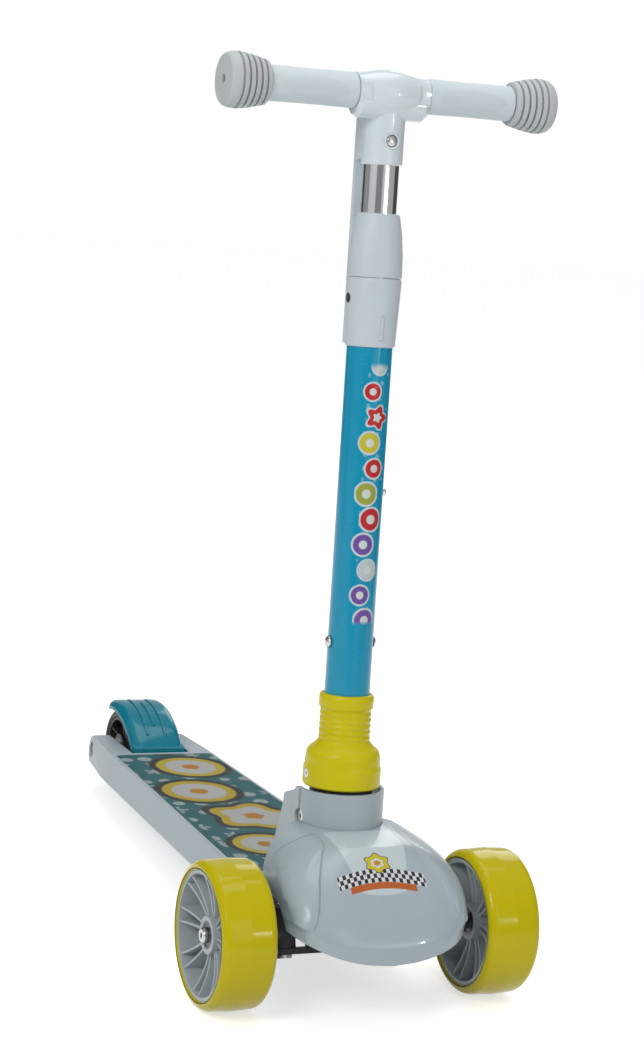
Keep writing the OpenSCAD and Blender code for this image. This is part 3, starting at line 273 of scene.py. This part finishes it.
def printed_tube():
    """Glossy blue enamel with a column of printed shapes down the front."""
    material, t, surface, _ = surfaced("Blue tube print", TUBE_BLUE, 0.2, scuffs=0.08, bump=0.03,
                                       coat=0.2, shine=0.2)
    pitch = 0.0205
    place = t.vector("SUBTRACT", t.place(), tuple(FOLD))
    along = t.vector("DOT_PRODUCT", place, tuple(STEM))
    back = t.vector("DOT_PRODUCT", place, tuple(STEM_BACK))
    side = t.vector("DOT_PRODUCT", place, (1.0, 0.0, 0.0))
    angle = t.calc("ARCTAN2", side, t.calc("MULTIPLY", back, -1.0))
    around = t.calc("MULTIPLY", angle, TUBE_R)
    flat = t.node("ShaderNodeCombineXYZ", {"X": around, "Y": along}).outputs["Vector"]
    column = t.group(COLUMN, Across=around, Along=along, Pitch=pitch, Swing=0.0052)
    shapes = t.group(SHAPES, Place=column.outputs["Place"], Cell=pitch, Size=0.4, Petals=0.2, Scatter=0.0)
    small = t.group(SHAPES, Place=flat, Cell=0.0095, Size=0.2, Petals=0.0)
    # the print runs between these distances from the folding bolt
    band = t.both(t.step(along, 0.160, 0.164), t.step(along, 0.372, 0.366))
    front = t.both(band, column.outputs["Mask"])
    colours = t.palette(shapes.outputs["Pick"], [
        (0.50, 0.02, 0.03), (0.55, 0.50, 0.03), (0.16, 0.08, 0.34), (0.50, 0.10, 0.03),
        (0.32, 0.36, 0.05), (0.5, 0.56, 0.58)])
    layers = [
        (small.outputs["Body"], rgb(0.16, 0.42, 0.52)),
        (shapes.outputs["Body"], colours),
        (shapes.outputs["Centre"], rgb(0.6, 0.66, 0.62)),
        (shapes.outputs["Outline"], rgb(0.55, 0.62, 0.64)),
    ]
    t.put(t.layered(TUBE_BLUE, layers, front), surface.inputs["Colour"])
    return material


def printed_mat():
    """Teal rubber mat with raised dots and a loose print of rings and strokes."""
    material, t, surface, bump = surfaced("Teal mat print", rgb(0.03, 0.12, 0.13), 0.7, shade=0.1,
                                          scuffs=0.12, bump=0.3, shine=0.3)
    pitch = 0.084
    place = t.place()
    split = t.node("ShaderNodeSeparateXYZ", {"Vector": place})
    dots = t.group(WEAVE, Pitch=0.0029).outputs["Dots"]
    column = t.group(COLUMN, Across=split.outputs["X"], Along=split.outputs["Y"], Pitch=pitch, Swing=0.022)
    big, core = (t.group(SHAPES, Place=column.outputs["Place"], Cell=pitch, Size=size, Petals=0.14,
                         Scatter=0.0, Eye=0.74) for size in (0.4, 0.1))
    leaf = t.group(SHAPES, Place=t.vector("ADD", place, (0.031, 0.012, 0.0)), Cell=0.026, Size=0.26,
                   Petals=0.5)
    # the print keeps clear of the mat's sides
    inside = t.step(t.calc("ABSOLUTE", split.outputs["X"]), MAT_HALF - 0.006, MAT_HALF - 0.009)
    discs = t.palette(big.outputs["Pick"], [
        (0.45, 0.33, 0.02), (0.40, 0.42, 0.42), (0.45, 0.36, 0.03), (0.40, 0.11, 0.02), (0.45, 0.33, 0.02)])
    # painted shade: the ground colour is darker between the raised dots and paler on them
    ground_shaded_between_dots = t.mix(dots, rgb(0.012, 0.095, 0.11), rgb(0.035, 0.15, 0.16))
    strokes = t.mix(t.both(leaf.outputs["Body"], t.calc("MULTIPLY", inside, 0.8)), ground_shaded_between_dots,
                    rgb(0.36, 0.42, 0.43))
    layers = [
        (big.outputs["Body"], discs),
        (big.outputs["Outline"], rgb(0.03, 0.035, 0.03)),
        (big.outputs["Centre"], rgb(0.42, 0.43, 0.42)),
        (core.outputs["Body"], rgb(0.42, 0.19, 0.015)),
    ]
    printed = t.layered(strokes, layers, t.both(inside, column.outputs["Mask"]))
    # painted light: paler on the raised dots, as painted highlight, and darker between them, as painted
    # shade in the hollows
    t.put(t.scaled(printed, t.calc("MULTIPLY_ADD", dots, 0.42, 0.72)), surface.inputs["Colour"])
    bump.inputs["Distance"].default_value = 0.0006
    t.put(dots, bump.inputs["Height"])
    return material


def printed_bonnet():
    """Pale grey shell with a white shield, a chequered ribbon, an orange band and a flower."""
    material, t, surface, fine = surfaced("Printed bonnet", SHELL_GREY, 0.3, shade=0.04, coat=0.3)
    x, y, z = t.node("ShaderNodeSeparateXYZ", {"Vector": t.place()}).outputs
    away = t.calc("ABSOLUTE", x)
    square = t.calc("MULTIPLY", x, x)
    front = t.step(y, WHEEL_Y + 0.022, WHEEL_Y + 0.020)
    soft = 0.0003

    def below(value, limit):
        return t.step(t.calc("SUBTRACT", value, limit), soft, -soft)

    def between(value, low, high):
        return t.both(t.step(t.calc("SUBTRACT", value, low), -soft, soft), below(value, high))

    # heights of the printed shapes, and how much they arch over the middle
    band_low, band_high, ribbon_high = 0.1075, 0.1115, 0.1193
    shield_low, shield_high = 0.1035, 0.140
    flower_z = 0.1225
    lift = t.calc("MULTIPLY_ADD", square, 3.2, z)
    shield_half = t.calc("MULTIPLY_ADD", t.calc("SUBTRACT", z, 0.107), 0.38, 0.0195)
    shield = t.both(below(away, shield_half),
                    between(t.calc("MULTIPLY_ADD", square, -6.0, z), shield_low, shield_high))
    ribbon = t.both(below(away, 0.0375), between(lift, band_high, ribbon_high))
    band = t.both(below(away, 0.0285), between(lift, band_low, band_high))

    columns = t.calc("FLOOR", t.calc("DIVIDE", x, 0.0030))
    rows = t.calc("FLOOR", t.calc("DIVIDE", t.calc("SUBTRACT", lift, band_high), 0.0026))
    chequer = t.calc("ABSOLUTE", t.calc("MODULO", t.calc("ADD", columns, rows), 2.0))
    squares = t.mix(chequer, rgb(0.62, 0.64, 0.65), rgb(0.015, 0.015, 0.02))

    # six-petalled flower; the front leans back, so its height counts double
    height = t.calc("MULTIPLY", t.calc("SUBTRACT", z, flower_z), 2.0)
    turn = t.calc("MULTIPLY", t.calc("ARCTAN2", x, height), 6.0)
    petals = t.calc("MULTIPLY_ADD", t.calc("COSINE", turn), 0.13, 1.0)
    radius = t.calc("SQRT", t.calc("MULTIPLY_ADD", height, height, square))
    reach = t.calc("DIVIDE", radius, petals)
    layers = [
        (shield, rgb(0.50, 0.58, 0.60)),
        (ribbon, squares),
        (band, rgb(0.45, 0.10, 0.012)),
        (below(reach, 0.0104), rgb(0.03, 0.03, 0.03)),
        (below(reach, 0.0096), rgb(0.55, 0.46, 0.01)),
        (below(reach, 0.0052), rgb(0.60, 0.63, 0.60)),
        (below(reach, 0.0030), rgb(0.50, 0.22, 0.01)),
    ]
    t.put(t.layered(SHELL_GREY, layers, front), surface.inputs["Colour"])

    # crisp inner edge of the raised cheeks, a curve that leans inwards as it climbs
    climb = t.calc("SUBTRACT", z, 0.110)
    bend = t.calc("MULTIPLY_ADD", t.calc("MULTIPLY_ADD", climb, -281.0, -8.98), climb, -0.4115)
    inner = t.calc("MULTIPLY_ADD", bend, climb, 0.0528)
    rise = 0.0011
    cheek = t.both(t.step(t.calc("SUBTRACT", away, inner), -rise, rise), t.step(z, 0.078, 0.084))
    cheek = t.both(t.both(cheek, t.step(z, 0.134, 0.131)), front)
    crisp = t.node("ShaderNodeBump", {
        "Strength": 1.0, "Distance": rise, "Height": cheek,
        "Normal": fine.inputs["Normal"].links[0].from_socket})
    t.put(crisp.outputs["Normal"], fine.inputs["Normal"])
    return material


def panelled_grip():
    """Grip rubber with an oval field of fine raised dots on each face."""
    material, t, surface, bump = surfaced("Pale blue-grey grip", GRIP_GREY, 0.6, scuffs=0.04,
                                          grain=0.0012, bump=0.3)
    place = t.place()
    x, _, z = t.node("ShaderNodeSeparateXYZ", {"Vector": place}).outputs
    # the oval's half length is a share of the grip's length, its half height is in metres
    along = t.calc("DIVIDE", t.calc("SUBTRACT", t.calc("ABSOLUTE", x), GRIP_MIDDLE), GRIP_LENGTH * 0.40)
    height = t.calc("DIVIDE", t.calc("SUBTRACT", z, BAR_Z), 0.009)
    reach = t.calc("ADD", t.calc("POWER", along, 2.0), t.calc("POWER", height, 2.0))
    oval = t.step(reach, 1.0, 0.9)
    cells = t.node("ShaderNodeTexVoronoi", {"Vector": place, "Scale": 620.0, "Randomness": 0.15})
    dots = t.both(t.step(cells.outputs["Distance"], 0.48, 0.2), oval)
    t.put(t.calc("MULTIPLY_ADD", dots, 1.6, surface.outputs["Height"]), bump.inputs["Height"])
    t.put(t.mix(oval, GRIP_GREY, t.scaled(GRIP_GREY[:3], 0.96)), surface.inputs["Colour"])
    return material


SHELL_GREY = rgb(0.362, 0.428, 0.466)
GRIP_GREY = rgb(0.62, 0.695, 0.735)
TUBE_BLUE = rgb(0.003, 0.28, 0.455)


def plain(*values, **more):
    """A finish without a print."""
    return surfaced(*values, **more)[0]


shell = plain("Pale grey shell", SHELL_GREY, 0.38, shade=0.04, coat=0.08)
handle = plain("Pale blue-grey handle", rgb(0.65, 0.725, 0.76), 0.22, shade=0.04, coat=0.4)
collar_grey = plain("Pale grey height collar", rgb(0.54, 0.61, 0.65), 0.42, shade=0.04, coat=0.05)
knob = plain("Pale grey knob", rgb(0.50, 0.53, 0.54), 0.6, scuffs=0.04, bump=0.2)
wheel_yellow = plain("Yellow wheel rubber", rgb(0.52, 0.44, 0.001), 0.13, scuffs=0.03, bump=0.05,
                     coat=0.12, shine=0.12)
collar_yellow = plain("Yellow collar", rgb(0.60, 0.52, 0.003), 0.33, scuffs=0.04, bump=0.08,
                      coat=0.1, shine=0.15)
hub = plain("Grey hub", rgb(0.42, 0.47, 0.49), 0.4, scuffs=0.06)
teal = plain("Teal fender", rgb(0.003, 0.19, 0.265), 0.16, scuffs=0.08, bump=0.06, coat=0.15, shine=0.2)
black = plain("Black wheel rubber", rgb(0.02, 0.02, 0.021), 0.45, shade=0.2, scuffs=0.1)
dark = plain("Dark moulding", rgb(0.05, 0.052, 0.055), 0.5, shade=0.1, scuffs=0.08)
chrome = plain("Chrome tube", rgb(0.78, 0.79, 0.8), 0.1, shade=0.03, bump=0.02, metal=1.0, shine=0.5)
steel = plain("Zinc steel", rgb(0.55, 0.55, 0.54), 0.3, shade=0.06, scuffs=0.15, bump=0.05, metal=1.0,
              shine=0.5)
dark_steel = plain("Dark steel", rgb(0.12, 0.12, 0.125), 0.4, shade=0.06, scuffs=0.1, metal=1.0, shine=0.5)
tube_print = printed_tube()
mat_print = printed_mat()
bonnet = printed_bonnet()
grip = panelled_grip()

FINISHES = {
    shell: ["deck_shell", "neck_housing", "fold_latch"],
    bonnet: ["front_cover"],
    mat_print: ["deck_mat"],
    dark: ["front_bridge", "stem_root", "tube_bush", "tube_foot", "left_knuckle", "right_knuckle",
           "tie_rod"],
    black: ["steering_bushes", "rear_tyre", "rear_hub"],
    steel: ["bridge_screws", "left_kingpin", "right_kingpin", "fold_bolt", "latch_pin", "rear_axle",
            "rear_spacers", "brake_pin", "brake_spring", "collar_screws", "tube_bolt", "height_button",
            "handle_screw", "left_axle_bolt", "right_axle_bolt", "left_bearing_spacer",
            "right_bearing_spacer", "rear_bearing_spacer"],
    dark_steel: ["height_collar_screw", "left_knob_screw", "right_knob_screw", "left_bearings",
                 "right_bearings", "rear_bearings"],
    collar_yellow: ["stem_collar"],
    tube_print: ["lower_tube"],
    chrome: ["inner_tube"],
    handle: ["t_handle"],
    collar_grey: ["height_collar", "collar_cap"],
    grip: ["left_grip", "right_grip"],
    knob: ["left_knob", "right_knob"],
    wheel_yellow: ["left_tyre", "right_tyre"],
    hub: ["left_hub", "right_hub"],
    teal: ["brake_fender"],
}
for finish, names in FINISHES.items():
    for name in names:
        mesh = nodes[name].data
        mesh.materials.clear()
        mesh.materials.append(finish)


def soft_shading(limit):
    """Modifier tree that joins coincident corners and shades smooth over edges flatter than limit."""
    group = bpy.data.node_groups.new("Soft shading", "GeometryNodeTree")
    for way in ("INPUT", "OUTPUT"):
        group.interface.new_socket("Geometry", in_out=way, socket_type="NodeSocketGeometry")
    t = Tree(group)
    entry = t.node("NodeGroupInput")
    joined = t.node("GeometryNodeMergeByDistance", {
        "Geometry": entry.outputs["Geometry"], "Distance": 2e-6})
    smooth = t.node("GeometryNodeSetShadeSmooth", {
        "Geometry": joined.outputs["Geometry"], "Shade Smooth": True}, domain="FACE")
    angle = t.node("GeometryNodeInputMeshEdgeAngle").outputs["Unsigned Angle"]
    steep = t.node("FunctionNodeCompare", {"A": angle, "B": limit},
                   data_type="FLOAT", operation="GREATER_THAN")
    creased = t.node("GeometryNodeSetShadeSmooth", {
        "Geometry": smooth.outputs["Geometry"], "Selection": steep.outputs["Result"],
        "Shade Smooth": False}, domain="EDGE")
    t.put(creased.outputs["Geometry"], t.node("NodeGroupOutput").inputs["Geometry"])
    return group


SOFT = soft_shading(math.radians(24))
for name in ("front_cover", "t_handle", "height_collar", "collar_cap", "stem_collar", "brake_fender"):
    mesh = nodes[name].data
    if "custom_normal" in mesh.attributes:
        mesh.attributes.remove(mesh.attributes["custom_normal"])
    nodes[name].modifiers.new("Soft shading", "NODES").node_group = SOFT


# ------------------------------------------------------------------ studio
def put_in(name, data):
    thing = bpy.data.objects.new(name, data)
    bpy.context.scene.collection.objects.link(thing)
    return thing


def light(name, place, target, size, power):
    lamp = bpy.data.lights.new(name, "AREA")
    lamp.shape = "RECTANGLE"
    lamp.size, lamp.size_y = size
    lamp.energy = power
    holder = put_in(name, lamp)
    holder.location = place
    holder.rotation_euler = (Vector(target) - Vector(place)).to_track_quat("-Z", "Y").to_euler()


def sheet(name, corners, colour, roughness, shine):
    """A four-cornered sheet of the studio; returns it with its Tree and its shader."""
    mesh = bpy.data.meshes.new(name)
    mesh.from_pydata(corners, [], [(0, 1, 2, 3)])
    material, t, shader = new_material(name)
    for label, value in (("Base Color", colour), ("Roughness", roughness),
                         ("Specular IOR Level", shine), ("Emission Color", rgb(1, 1, 1))):
        t.put(value, shader.inputs[label])
    mesh.materials.append(material)
    made = put_in(name, mesh)
    return made, t, shader


def card(name, left, right, distance, height, glow):
    """Upright card that only reflections see, between two bearings from the front, clockwise."""
    low = [Vector((math.sin(turn), -math.cos(turn), 0)) * distance
           for turn in map(math.radians, (left, right))]
    high = [corner + Vector((0, 0, height)) for corner in reversed(low)]
    made, t, shader = sheet(name, low + high, rgb(0, 0, 0), 0.5, 0.0)
    t.put(glow, shader.inputs["Emission Strength"])
    for ray in ("camera", "diffuse", "transmission", "shadow"):
        setattr(made, "visible_" + ray, False)


def floor():
    half = 6.0
    corners = [(-half, -half, 0), (half, -half, 0), (half, half, 0), (-half, half, 0)]
    _, t, shader = sheet("Floor", corners, rgb(0.8, 0.8, 0.8), 0.9, 0.5)
    path = t.node("ShaderNodeLightPath").outputs
    seen = t.calc("MAXIMUM", path["Is Camera Ray"], path["Is Glossy Ray"])
    seen = t.calc("MAXIMUM", seen, path["Is Transmission Ray"])
    t.put(t.calc("MULTIPLY", seen, 0.6), shader.inputs["Emission Strength"])


def pale_room():
    """White where the camera looks past the floor, grey for reflections, plain for what it lights."""
    world = bpy.data.worlds.new("Pale room")
    bpy.context.scene.world = world
    world.use_nodes = True
    t = Tree(world.node_tree)
    background = world.node_tree.nodes["Background"]
    path = t.node("ShaderNodeLightPath").outputs
    seen = t.calc("MAXIMUM", path["Is Camera Ray"], path["Is Transmission Ray"])
    lit = t.calc("MAXIMUM", seen, t.calc("MULTIPLY", path["Is Glossy Ray"], 0.6))
    t.put(rgb(1, 1, 1), background.inputs["Color"])
    t.put(t.calc("MAXIMUM", lit, 0.45), background.inputs["Strength"])


def studio():
    light("Key light", (-2.2, -1.8, 2.3), (0, 0, 0.3), (1.2, 1.2), 33)
    light("Front light", (0.6, -2.8, 1.3), (0, 0, 0.4), (0.9, 1.6), 5)
    light("Top light", (0.2, 0.3, 2.8), (0, 0, 0.2), (1.6, 1.6), 20)
    light("Back light", (1.6, 2.0, 1.6), (0, 0, 0.3), (1.0, 1.4), 10)
    light("Right spark", (0.95, -2.1, 0.70), (0, -0.2, 0.3), (0.08, 0.2), 3)
    light("Left spark", (-2.1, -1.0, 1.1), (0, -0.2, 0.3), (0.08, 0.2), 3)
    pale_room()
    card("Dark left card", -175, -138, 2.2, 2.4, 0.07)
    card("Grey left card", -138, -93, 2.6, 2.4, 0.3)
    card("Grey front card", -47, -9, 3.6, 3.4, 0.24)
    card("Grey right card", 17, 72, 3.2, 3.0, 0.42)
    card("Dark right card", 72, 127, 2.4, 2.4, 0.07)
    floor()


def camera():
    """Placed in front of the front axle, turned by its direction, then rolled a little clockwise."""
    place = Vector((-0.83309, WHEEL_Y - 1.74532, 0.76377))
    azimuth, elevation, roll = (math.radians(v) for v in (-23.737, 11.128, 5.673))
    level = math.cos(elevation)
    back = Vector((math.sin(azimuth) * level, -math.cos(azimuth) * level, math.sin(elevation)))
    right = Vector((math.cos(azimuth), math.sin(azimuth), 0))
    up = back.cross(right)
    right, up = (math.cos(roll) * right + math.sin(roll) * up,
                 math.cos(roll) * up - math.sin(roll) * right)
    lens = bpy.data.cameras.new("Camera")
    lens.lens = 86.274
    lens.sensor_width = 36.0
    lens.clip_end = 50
    holder = put_in("Camera", lens)
    holder.matrix_world = Matrix.Translation(place) @ Matrix((right, up, back)).transposed().to_4x4()
    bpy.context.scene.camera = holder


studio()
camera()
bpy.context.scene.view_settings.view_transform = "Standard"
